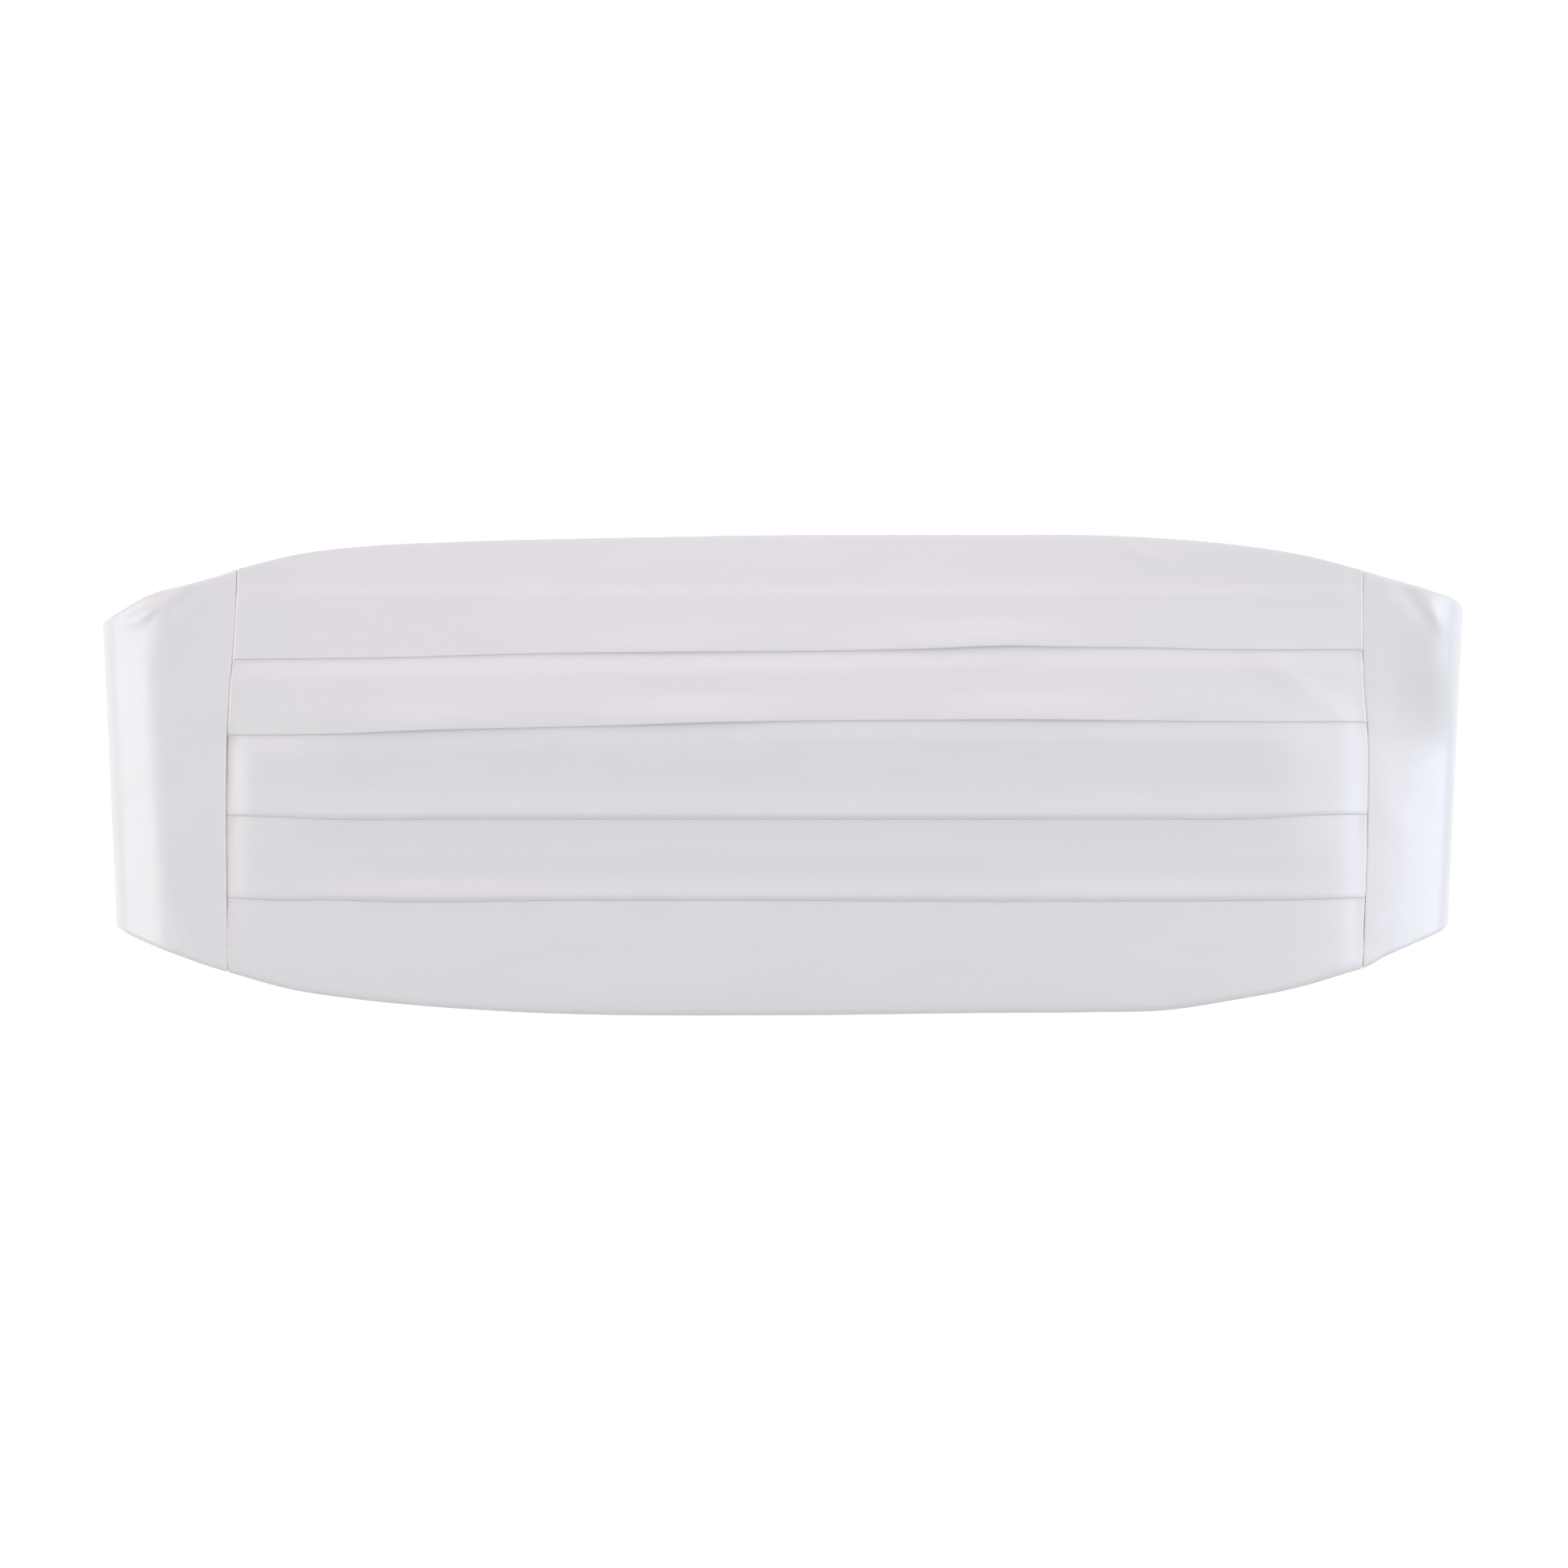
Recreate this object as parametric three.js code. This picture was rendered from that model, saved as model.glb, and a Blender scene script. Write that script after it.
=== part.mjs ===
// A satin cummerbund, fastened behind and laid on its back with its front up.
// The front is one cloth folded into four knife pleats, so five bands show. An end panel is sewn
// to each side, tapers, rolls under at the fold and ends in a tip. An elastic strap is sewn inside
// each tip, and the two straps are looped round the bars of one plain clasp at the middle back.
// Millimetres. X runs along the band, Y up the body as worn, Z up from the surface to the front.
import * as THREE from "three";

// Driving sizes of the pleated cloth
const PANEL_HEIGHT = 130; // top edge to bottom edge where the front is widest
const PLEATED_WIDTH = 306.5; // seam to seam
const CLOTH = 1; // one layer of satin with its interlining
const LAYER_GAP = 0.3; // between two layers of folded cloth
const PLEAT_DEPTH = 12; // how far each pleat tucks in behind its own edge
const SEAM_WANDER = 3; // how far the sewn seams stray from a straight line
const FRONT_SAG = 2.5; // how much lower the front hangs in the middle of its width
const EDGE_DROOP = 1.5; // how much lower still its top and bottom edges hang there

// Driving sizes of the end panels
const END_PANEL_WALL = 2; // satin, interlining and facing together
const SHOWN_LEFT = 32; // left seam to left fold, seen from above
const SHOWN_RIGHT = 25.2; // right seam to right fold, seen from above
const BEHIND = 38; // how far the end panels run on behind, past their rolls
const TIP_WIDTH = 40; // an end panel's height at its tip
const SHOULDER_RADIUS = 24; // the gentle bend where the panel starts to roll under
const SHOULDER_ANGLE = 30; // degrees turned by the gentle bend
const FOLD_LEAN = 2.65; // degrees that each fold leans outwards towards the top

// Driving sizes of the straps and the clasp
const WAIST_SPACE = 6.5; // clear height between the front and the straps folded at the clasp
const STRAP_WIDTH = 25;
const STRAP_WALL = 1.2;
const STRAP_LAP = 16; // strap sewn down inside the tip
const STRAP_SLOPE = 9; // run in which a strap comes down to the surface
const STRAP_FOLD_BACK = 24; // strap end that is looped round the clasp and sewn to itself
const CLASP_WALL = 2.4;
const CLASP_BAR = 3; // the outer bar that a strap goes round
const CLASP_RIM = 3; // the clasp's frame beside the strap
const CLASP_MIDDLE = 6; // the web between the two slots
const CLASP_CORNER = 3;
const CLASP_BEVEL = 0.4;
const SEAT_GAP = 0.3; // clearance between two pieces that meet
const SLOT_SLACK = 1.8; // clearance in a slot past the looped strap
const STRAP_SIDE_GAP = 0.8; // clearance between a strap and the clasp's frame

// Mesh fineness
const STATIONS = 22; // steps along the pleated cloth
const TURN_STEPS = 4; // steps round one pleat fold
const SHOULDER_STEPS = 4; // steps round the gentle bend
const ROLL_STEPS = 12; // steps round the roll
const FLAT_STEPS = 4; // steps along each flat stretch of an end panel
const PANEL_ROWS = 8; // faces across an end panel
const EDGE_STEPS = 2; // faces round a quarter of an end panel's edge
const LOOP_STEPS = 8; // faces round a strap's loop
const CORNER_STEPS = 5; // faces round a corner of the clasp

// The outline of the pleated cloth. across runs from the left seam, 0, to the right seam, 1; top
// and bottom are shares of PANEL_HEIGHT above the middle line.
const FRONT_OUTLINE = [
  { across: 0, top: 0.429, bottom: -0.407 },
  { across: 0.054, top: 0.46, bottom: -0.442 },
  { across: 0.111, top: 0.476, bottom: -0.463 },
  { across: 0.197, top: 0.486, bottom: -0.482 },
  { across: 0.311, top: 0.493, bottom: -0.495 },
  { across: 0.486, top: 0.5, bottom: -0.498 },
  { across: 0.655, top: 0.501, bottom: -0.493 },
  { across: 0.769, top: 0.499, bottom: -0.491 },
  { across: 0.826, top: 0.492, bottom: -0.487 },
  { across: 0.883, top: 0.481, bottom: -0.467 },
  { across: 0.941, top: 0.461, bottom: -0.441 },
  { across: 1, top: 0.427, bottom: -0.4 },
];

// The four pleat edges, as shares of PANEL_HEIGHT above the middle line.
const PLEATS = ["first", "second", "third", "fourth"];
const PLEAT_EDGES = [
  { across: 0, first: 0.241, second: 0.084, third: -0.079, fourth: -0.251 },
  { across: 0.25, first: 0.251, second: 0.098, third: -0.081, fourth: -0.254 },
  { across: 0.5, first: 0.258, second: 0.111, third: -0.083, fourth: -0.254 },
  { across: 0.7, first: 0.267, second: 0.116, third: -0.082, fourth: -0.254 },
  { across: 1, first: 0.261, second: 0.111, third: -0.078, fourth: -0.252 },
];

// Where the two turned hems end, as shares of PANEL_HEIGHT above the middle line.
const HEM_LINES = { top: 0.392, bottom: -0.355 };

// The two seams. height is a share of PANEL_HEIGHT above the middle line; left and right are
// shares of SEAM_WANDER towards +X.
const SEAM_LINES = [
  { height: -0.4, left: 0.04, right: -0.04 },
  { height: -0.25, left: 0, right: 0.22 },
  { height: -0.08, left: -0.07, right: 0.42 },
  { height: 0.08, left: 0.02, right: 0.44 },
  { height: 0.17, left: 0.22, right: 0.12 },
  { height: 0.24, left: 0.5, right: 0 },
  { height: 0.32, left: 0.73, right: 0 },
  { height: 0.43, left: 0.91, right: 0 },
];

// How each end panel tapers between its seam and its tip. along is a share of the panel's length
// from its seam; top and bottom are shares of PANEL_HEIGHT above the middle line.
const END_TAPER = {
  left: [
    { along: 0.12, top: 0.397, bottom: -0.386 },
    { along: 0.226, top: 0.375, bottom: -0.363 },
    { along: 0.29, top: 0.356, bottom: -0.347 },
    { along: 0.357, top: 0.334, bottom: -0.329 },
    { along: 0.452, top: 0.312, bottom: -0.306 },
  ],
  right: [
    { along: 0.095, top: 0.403, bottom: -0.375 },
    { along: 0.149, top: 0.393, bottom: -0.361 },
    { along: 0.214, top: 0.379, bottom: -0.343 },
    { along: 0.286, top: 0.365, bottom: -0.325 },
    { along: 0.363, top: 0.343, bottom: -0.306 },
  ],
};

const SATIN = new THREE.MeshStandardMaterial({ color: 0xddd9de, roughness: 0.45, metalness: 0 });
const ELASTIC = new THREE.MeshStandardMaterial({ color: 0xe4e2e0, roughness: 0.85, metalness: 0 });
const PLASTIC = new THREE.MeshStandardMaterial({ color: 0xe6e4e1, roughness: 0.35, metalness: 0 });

const SIDES = { left: -1, right: 1 };
const { lerp, degToRad, smoothstep, euclideanModulo } = THREE.MathUtils;

// A smooth function through a table: the value of one column at a place in another.
function smooth(rows, place, column) {
  const curve = new THREE.CubicInterpolant(
    rows.map((row) => row[place]),
    rows.map((row) => row[column]),
    1,
  );
  return (at) => curve.evaluate(at)[0];
}

// A closed solid through rings of points. Each ring runs anticlockwise, seen from the last ring
// towards the first, and its first and last halves face each other, so the ends close as ladders.
function loft(rings) {
  const count = rings[0].length;
  const end = (rings.length - 1) * count;
  const positions = rings.flat().flatMap((p) => [p.x, p.y, p.z]);
  const indices = [];
  for (let start = 0; start < end; start += count) {
    for (let k = 0; k < count; k++) {
      const [a, b] = [start + k, start + ((k + 1) % count)];
      indices.push(a, b, b + count, a, b + count, a + count);
    }
  }
  const close = (a, b, c) => indices.push(a, c, b, end + a, end + b, end + c);
  for (let i = 0, j = count - 1; i + 1 < j; i++, j--) {
    close(i, i + 1, j);
    if (i + 2 < j) close(i + 1, j - 1, j);
  }
  const geometry = new THREE.BufferGeometry();
  geometry.setAttribute("position", new THREE.Float32BufferAttribute(positions, 3));
  geometry.setIndex(indices);
  geometry.computeVertexNormals();
  return geometry;
}

// Points round an arc in a plane, from one angle to another, in degrees.
function arc(centreX, centreY, radius, from, to, steps) {
  return Array.from({ length: steps + 1 }, (_, i) => {
    const angle = degToRad(lerp(from, to, i / steps));
    return new THREE.Vector2(
      centreX + radius * Math.cos(angle),
      centreY + radius * Math.sin(angle),
    );
  });
}

// Both faces of a sheet whose middle line runs through these points, as one closed outline: out
// along its right face and back along its left one, with mitred corners.
function thicken(points, wall) {
  const headings = points.slice(1).map((point, i) => point.clone().sub(points[i]).angle());
  const offsets = points.map((_, i) => {
    const before = headings[Math.max(i - 1, 0)];
    const after = headings[Math.min(i, headings.length - 1)];
    const halfTurn = (euclideanModulo(after - before + Math.PI, 2 * Math.PI) - Math.PI) / 2;
    const offset = new THREE.Vector2(0, -wall / 2 / Math.cos(halfTurn));
    return offset.rotateAround(new THREE.Vector2(), before + halfTurn);
  });
  const right = points.map((point, i) => point.clone().add(offsets[i]));
  const left = points.map((point, i) => point.clone().sub(offsets[i]));
  return [...right, ...left.reverse()];
}

const frontTop = smooth(FRONT_OUTLINE, "across", "top");
const frontBottom = smooth(FRONT_OUTLINE, "across", "bottom");
const pleatEdges = PLEATS.map((name) => smooth(PLEAT_EDGES, "across", name));
const seamStray = {
  left: smooth(SEAM_LINES, "height", "left"),
  right: smooth(SEAM_LINES, "height", "right"),
};

const FRONT_SHIFT = (SHOWN_LEFT - SHOWN_RIGHT) / 2; // from the middle of the folds towards +X
const LAYER_STEP = CLOTH + LAYER_GAP;
const PLEATED_WALL = CLOTH + 2 * LAYER_STEP; // three layers, where a pleat lies over the next band
const FOLD_RADIUS = LAYER_STEP / 2;
const FOLD_REACH = FOLD_RADIUS + CLOTH / 2; // a fold's edge lies this far from its centre

// The straps' layers at the clasp, from the surface up: strap, bar, strap end.
const CLASP_FLOOR = STRAP_WALL + SEAT_GAP;
const LOOPED_HEIGHT = CLASP_FLOOR + CLASP_WALL + SEAT_GAP + STRAP_WALL;
const LAID_HEIGHT = LOOPED_HEIGHT + WAIST_SPACE + FRONT_SAG + PLEATED_WALL;

// How far a seam strays towards +X at a height above the middle line.
function strayX(sideName, y) {
  return SEAM_WANDER * seamStray[sideName](y / PANEL_HEIGHT);
}

// Where a seam lies at a height above the middle line.
function seamX(sideName, y) {
  return FRONT_SHIFT + (SIDES[sideName] * PLEATED_WIDTH) / 2 + strayX(sideName, y);
}

// The pleated cloth cut across, as heights on the panel and heights above its back: up the top
// hem, down the five bands with a fold out and a fold in at each pleat, and up the bottom hem.
function pleatedSection(top, bottom, edges) {
  const level = (layer) => CLOTH / 2 + layer * LAYER_STEP;
  const point = (y, layer) => new THREE.Vector2(y, level(layer));
  const turn = (y, layer, from, to) => arc(y, level(layer), FOLD_RADIUS, from, to, TURN_STEPS);
  const hemTop = PANEL_HEIGHT * HEM_LINES.top;
  const hemBottom = PANEL_HEIGHT * HEM_LINES.bottom;
  const line = [point(hemTop, 0), ...turn(top - FOLD_REACH, 0.5, -90, 90), point(hemTop, 1)];
  for (const edge of edges) {
    const inside = edge + PLEAT_DEPTH;
    line.push(point(inside, 2));
    line.push(...turn(edge + FOLD_REACH, 1.5, 90, 270));
    line.push(...turn(inside - FOLD_REACH, 0.5, 90, -90));
    line.push(point(edge, 0));
  }
  line.push(point(hemBottom, 1), ...turn(bottom + FOLD_REACH, 0.5, 90, 270), point(hemBottom, 0));
  return thicken(line, CLOTH);
}

// How far the front hangs below its seams.
function sag(across, y) {
  const fromSeams = Math.sin(Math.PI * across) ** 2;
  return fromSeams * (FRONT_SAG + EDGE_DROOP * (y / (PANEL_HEIGHT / 2)) ** 2);
}

function pleatedFront() {
  const back = LAID_HEIGHT - PLEATED_WALL;
  const rings = [];
  for (let j = 0; j <= STATIONS; j++) {
    const across = (1 - Math.cos((Math.PI * j) / STATIONS)) / 2;
    const section = pleatedSection(
      PANEL_HEIGHT * frontTop(across),
      PANEL_HEIGHT * frontBottom(across),
      pleatEdges.map((edge) => PANEL_HEIGHT * edge(across)),
    );
    rings.push(
      section.map(({ x: y, y: up }) => {
        const left = seamX("left", y) + SEAT_GAP / 2;
        const right = seamX("right", y) - SEAT_GAP / 2;
        return new THREE.Vector3(lerp(left, right, across), y, back + up - sag(across, y));
      }),
    );
  }
  return loft(rings);
}

// The roll at a fold: two arcs that together come down from the front's face to the surface.
const SHOULDER_TURN = degToRad(SHOULDER_ANGLE);
const SHOULDER_DROP = SHOULDER_RADIUS * (1 - Math.cos(SHOULDER_TURN));
const ROLL_RADIUS = (LAID_HEIGHT - SHOULDER_DROP) / (1 + Math.cos(SHOULDER_TURN));
const ROLL_X = (PLEATED_WIDTH + SHOWN_LEFT + SHOWN_RIGHT) / 2 - ROLL_RADIUS; // the roll's centre
const SHOULDER_X = ROLL_X - (SHOULDER_RADIUS - ROLL_RADIUS) * Math.sin(SHOULDER_TURN);

// Where an end panel's seam and tip lie, counted outwards from the middle of the folds.
function endPlaces(sideName) {
  const shift = SIDES[sideName] * FRONT_SHIFT;
  return { seam: PLEATED_WIDTH / 2 + shift, tip: ROLL_X - BEHIND - shift };
}

// The outer face of an end panel from its seam to its tip: places, outward normals and distances.
function endPath(sideName) {
  const { seam, tip } = endPlaces(sideName);
  const up = new THREE.Vector2(0, 1);
  const path = [{ at: new THREE.Vector2(seam, LAID_HEIGHT), normal: up, along: 0 }];
  const add = (at, normal) => {
    const last = path.at(-1);
    path.push({ at, normal, along: last.along + at.distanceTo(last.at) });
  };
  const straight = (toX) => {
    const { at, normal } = path.at(-1);
    for (let i = 1; i <= FLAT_STEPS; i++) {
      add(new THREE.Vector2(lerp(at.x, toX, i / FLAT_STEPS), at.y), normal);
    }
  };
  const bend = (x, radius, middleZ, from, to, steps) => {
    const centre = new THREE.Vector2(x, middleZ);
    for (const at of arc(x, middleZ, radius, from, to, steps).slice(1)) {
      add(at, at.clone().sub(centre).normalize());
    }
  };
  const shoulderEnd = 90 - SHOULDER_ANGLE;
  const shoulderZ = LAID_HEIGHT - SHOULDER_RADIUS;
  straight(SHOULDER_X);
  bend(SHOULDER_X, SHOULDER_RADIUS, shoulderZ, 90, shoulderEnd, SHOULDER_STEPS);
  bend(ROLL_X, ROLL_RADIUS, ROLL_RADIUS, shoulderEnd, -90, ROLL_STEPS);
  straight(tip);
  return path;
}

// The end panel cut across, from its top edge down the outer face and back up the inner one:
// rows of height and of depth below the outer face.
function panelSection(top, bottom) {
  const radius = END_PANEL_WALL / 2;
  const [high, low] = [top - radius, bottom + radius];
  const outer = [];
  const quarter = (y, from) => {
    for (let i = 0; i <= EDGE_STEPS; i++) {
      const angle = from + (Math.PI * i) / (2 * EDGE_STEPS);
      outer.push({ y: y + radius * Math.cos(angle), depth: radius * (1 - Math.sin(angle)) });
    }
  };
  quarter(high, 0);
  for (let i = 1; i < PANEL_ROWS; i++) outer.push({ y: lerp(high, low, i / PANEL_ROWS), depth: 0 });
  quarter(low, Math.PI / 2);
  const inner = outer.slice(1, -1).map(({ y, depth }) => ({ y, depth: END_PANEL_WALL - depth }));
  return [...outer, ...inner.reverse()];
}

function endPanel(sideName) {
  const side = SIDES[sideName];
  const { seam, tip } = endPlaces(sideName);
  const path = endPath(sideName);
  const length = path.at(-1).along;
  const flat = SHOULDER_X - seam;
  const behind = ROLL_X - tip;
  const seamAcross = side < 0 ? 0 : 1;
  const tipShare = TIP_WIDTH / 2 / PANEL_HEIGHT;
  const taper = [
    { along: 0, top: frontTop(seamAcross), bottom: frontBottom(seamAcross) },
    ...END_TAPER[sideName],
    { along: 1, top: tipShare, bottom: -tipShare },
  ];
  const top = smooth(taper, "along", "top");
  const bottom = smooth(taper, "along", "bottom");
  const leanSlope = Math.tan(degToRad(FOLD_LEAN));
  const rings = path.map(({ at, normal, along }) => {
    const past = smoothstep(along, 0, flat);
    const lean = past * (1 - smoothstep(along, length - behind, length)) * leanSlope;
    const share = along / length;
    const section = panelSection(PANEL_HEIGHT * top(share), PANEL_HEIGHT * bottom(share));
    return section.map(({ y, depth }) => {
      const x = side * (at.x - normal.x * depth + lean * y);
      const seamed = strayX(sideName, y) + (side * SEAT_GAP) / 2;
      return new THREE.Vector3(x + (1 - past) * seamed, y, at.y - normal.y * depth);
    });
  });
  if (side < 0) rings.forEach((ring) => ring.reverse());
  return loft(rings);
}

// A slot takes the strap looped round its bar, with some slack.
const CLASP_SLOT = CLASP_WALL / 2 + SEAT_GAP + STRAP_WALL + SLOT_SLACK;
const CLASP_LENGTH = 2 * (CLASP_BAR + CLASP_SLOT) + CLASP_MIDDLE;
const SLOT_WIDTH = STRAP_WIDTH + 2 * STRAP_SIDE_GAP;

// A strap seen from the side: from inside the tip down to the surface, under the clasp's bar, up
// through the slot and back over itself. x counts outwards from the clasp.
function strap(sideName) {
  const side = SIDES[sideName];
  const { tip } = endPlaces(sideName);
  const onSurface = STRAP_WALL / 2;
  const onTip = END_PANEL_WALL + SEAT_GAP + STRAP_WALL / 2;
  const onItself = STRAP_WALL + SEAT_GAP + STRAP_WALL / 2;
  const overBar = LOOPED_HEIGHT - STRAP_WALL / 2;
  const barInside = CLASP_LENGTH / 2 - CLASP_BAR;
  const barMiddle = (onSurface + overBar) / 2;
  const clearOfTip = tip - SEAT_GAP - STRAP_WALL;
  const clearOfBar = CLASP_LENGTH / 2 + SEAT_GAP + STRAP_WALL;
  const line = [
    new THREE.Vector2(tip + STRAP_LAP, onTip),
    new THREE.Vector2(clearOfTip, onTip),
    new THREE.Vector2(clearOfTip - STRAP_SLOPE, onSurface),
    ...arc(barInside, barMiddle, overBar - barMiddle, 270, 90, LOOP_STEPS),
    new THREE.Vector2(clearOfBar, overBar),
    new THREE.Vector2(clearOfBar + STRAP_SLOPE / 2, onItself),
    new THREE.Vector2(barInside + STRAP_FOLD_BACK, onItself),
  ];
  const outline = thicken(line, STRAP_WALL);
  const edge = (y) => outline.map((point) => new THREE.Vector3(side * point.x, y, point.y));
  return loft([edge((side * STRAP_WIDTH) / 2), edge((-side * STRAP_WIDTH) / 2)]);
}

// A rectangle about a point of the X axis with rounded corners, drawn into a shape or a hole.
function roundedRectangle(target, centreX, length, width, corner) {
  const [x, y] = [length / 2 - corner, width / 2 - corner];
  target.absarc(centreX + x, y, corner, 0, Math.PI / 2);
  target.absarc(centreX - x, y, corner, Math.PI / 2, Math.PI);
  target.absarc(centreX - x, -y, corner, Math.PI, Math.PI * 1.5);
  target.absarc(centreX + x, -y, corner, Math.PI * 1.5, Math.PI * 2);
  return target;
}

// A flat plate with a slot for each strap.
function clasp() {
  const width = SLOT_WIDTH + 2 * CLASP_RIM;
  const plate = roundedRectangle(new THREE.Shape(), 0, CLASP_LENGTH, width, CLASP_CORNER);
  for (const side of Object.values(SIDES)) {
    const centre = (side * (CLASP_MIDDLE + CLASP_SLOT)) / 2;
    const hole = new THREE.Path();
    plate.holes.push(roundedRectangle(hole, centre, CLASP_SLOT, SLOT_WIDTH, CLASP_BAR / 4));
  }
  const geometry = new THREE.ExtrudeGeometry(plate, {
    depth: CLASP_WALL - 2 * CLASP_BEVEL,
    curveSegments: CORNER_STEPS,
    bevelThickness: CLASP_BEVEL,
    bevelSize: CLASP_BEVEL,
    bevelOffset: -CLASP_BEVEL,
    bevelSegments: 1,
  });
  return geometry.translate(0, 0, CLASP_BEVEL);
}

const cummerbund = new THREE.Group();

function piece(name, geometry, material) {
  const mesh = new THREE.Mesh(geometry, material);
  mesh.name = name;
  cummerbund.add(mesh);
  return mesh;
}

piece("pleated_front", pleatedFront(), SATIN);
for (const sideName of Object.keys(SIDES)) {
  piece(`end_panel_${sideName}`, endPanel(sideName), SATIN);
  piece(`strap_${sideName}`, strap(sideName), ELASTIC);
}
piece("clasp", clasp(), PLASTIC).position.z = CLASP_FLOOR;

// The origin is on the surface, under the middle of the whole.
const middle = new THREE.Box3().setFromObject(cummerbund).getCenter(new THREE.Vector3());
cummerbund.position.set(-middle.x, -middle.y, 0);

export default cummerbund;
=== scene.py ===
# %% [markdown]
# # A satin cummerbund, laid face up
#
# A cummerbund is a pleated sash for the waist. This one is fastened behind and lies on its back, and
# the camera looks straight down on its front. The frame gives the solids at their real size in
# metres. Each piece here is cut flat, as a tailor cuts it, and then folded and laid where its solid is.

# %% Load the frame
import math

import bpy
import numpy as np
from mathutils import Matrix, Vector, noise


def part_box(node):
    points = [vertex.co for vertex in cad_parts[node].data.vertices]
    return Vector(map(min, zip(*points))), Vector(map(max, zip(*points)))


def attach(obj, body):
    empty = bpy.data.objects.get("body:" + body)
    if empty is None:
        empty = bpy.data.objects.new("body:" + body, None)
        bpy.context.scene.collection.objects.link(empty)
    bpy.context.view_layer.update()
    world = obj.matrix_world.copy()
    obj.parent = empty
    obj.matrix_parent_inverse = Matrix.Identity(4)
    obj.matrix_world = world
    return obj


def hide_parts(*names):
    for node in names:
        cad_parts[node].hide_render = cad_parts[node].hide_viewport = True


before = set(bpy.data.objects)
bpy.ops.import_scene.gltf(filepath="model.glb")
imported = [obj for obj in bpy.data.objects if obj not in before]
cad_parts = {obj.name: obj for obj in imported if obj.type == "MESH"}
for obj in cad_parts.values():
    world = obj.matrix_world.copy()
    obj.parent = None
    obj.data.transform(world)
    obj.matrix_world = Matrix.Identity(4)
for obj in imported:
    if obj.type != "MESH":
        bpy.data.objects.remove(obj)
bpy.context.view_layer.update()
MM = 0.001
print("solids:", sorted(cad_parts))

# %% [markdown]
# ## Curves through measured points
#
# Outlines and seams on a sewn thing are never quite straight. A few measured points with a smooth
# curve through them hold such a line well, and each can be read and changed by hand.


# %% Smooth curves and easing
def smooth(rows):
    """A smooth curve through rows of place and value. Outside them it keeps the end values."""
    places, values = np.array(rows, float).T
    slopes = np.diff(values) / np.diff(places)
    tangents = np.r_[slopes[0], (slopes[:-1] + slopes[1:]) / 2, slopes[-1]]

    def curve(at):
        at = np.clip(at, places[0], places[-1])
        i = np.clip(np.searchsorted(places, at, side="right") - 1, 0, len(slopes) - 1)
        run = places[i + 1] - places[i]
        t = (at - places[i]) / run
        bow = run * t * (1 - t) * (tangents[i] * (1 - t) - tangents[i + 1] * t)
        return values[i] * (1 + 2 * t) * (1 - t) ** 2 + values[i + 1] * t * t * (3 - 2 * t) + bow

    return curve


def ease(start, end, at):
    """0 before start, 1 after end, and a soft step between them."""
    t = np.clip((at - start) / (end - start), 0, 1)
    return t * t * (3 - 2 * t)


print("halfway:", float(ease(0, 1, 0.5)))

# %% [markdown]
# ## The main sizes
#
# These are the sizes of the construction, in millimetres, with X along the band, Y up as worn and Z
# up from the surface. Real satin is thinner than a solid can well be, so the cloth here is a fifth of
# a millimetre thick and its face stays at the solid's height.

# %% Sizes in millimetres
PLEATED_WIDTH = 306.5  # seam to seam
FRONT_SHIFT = 3.4  # the pleated cloth's middle, from the middle of the whole
FACE_HEIGHT = 18.0  # the front's face above the surface
CLOTH = 0.2  # one layer of satin
LAYER = 0.23  # from one layer of folded cloth to the next
PLEAT_DEPTH = 12.0  # how far each pleat tucks in behind its own edge
SAG, EDGE_DROOP = 2.5, 1.5  # how much lower the middle of the front hangs, and its edges more
FOLD_X = 181.85  # the outermost line of both folds
TIP_X = {"left": 139.33, "right": 132.53}  # the tips behind, counted outwards
SIDES = {"left": -1, "right": 1}
clasp_low, clasp_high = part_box("clasp")
# the clasp lies in the middle of the construction
MIDDLE = np.array([(clasp_low.x + clasp_high.x) / 2, (clasp_low.y + clasp_high.y) / 2, 0]) / MM
print("middle of the construction:", MIDDLE.round(2))

# %% Outline, seams and pleat edges
# rows of x from the left seam and height from the middle line
FRONT_TOP = smooth([
    (0, 55.8), (16.6, 59.8), (34, 61.9), (60.4, 63.2), (95.3, 64.1), (149, 65), (200.8, 65.1),
    (235.7, 64.9), (253.2, 64), (270.6, 62.5), (288.4, 59.9), (306.5, 55.5),
])
FRONT_BOTTOM = smooth([
    (0, -52.9), (16.6, -57.5), (34, -60.2), (60.4, -62.7), (95.3, -64.4), (149, -64.7), (200.8, -64.1),
    (235.7, -63.8), (253.2, -63.3), (270.6, -60.7), (288.4, -57.3), (306.5, -52),
])
PLEAT_EDGES = [
    smooth([
        (0, 31.3), (40, 31.7), (80, 32.8), (120, 33.3), (160, 33.6), (186, 34.1), (211, 35),
        (224, 34.7), (250, 34.4), (264, 34), (306.5, 33.9),
    ]),
    smooth([
        (0, 10.9), (28, 11.1), (54, 12.2), (80, 12.8), (107, 13.5), (120, 14), (147, 14.6),
        (186, 14.9), (212, 15.1), (240, 14.8), (264, 14.5), (306.5, 14.4),
    ]),
    smooth([
        (0, -10.7), (14, -11.1), (27, -11.7), (70, -11.7), (153, -11.8), (240, -11.7), (276, -11.6),
        (290, -10.7), (306.5, -10.4),
    ]),
    smooth([(0, -32.9), (14, -33.6), (28, -33.5), (48, -34.1), (85, -33.7), (280, -33.6), (306.5, -33)]),
]
HEM_TOP, HEM_BOTTOM = 51.0, -46.2  # where the turned hems end behind
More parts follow.
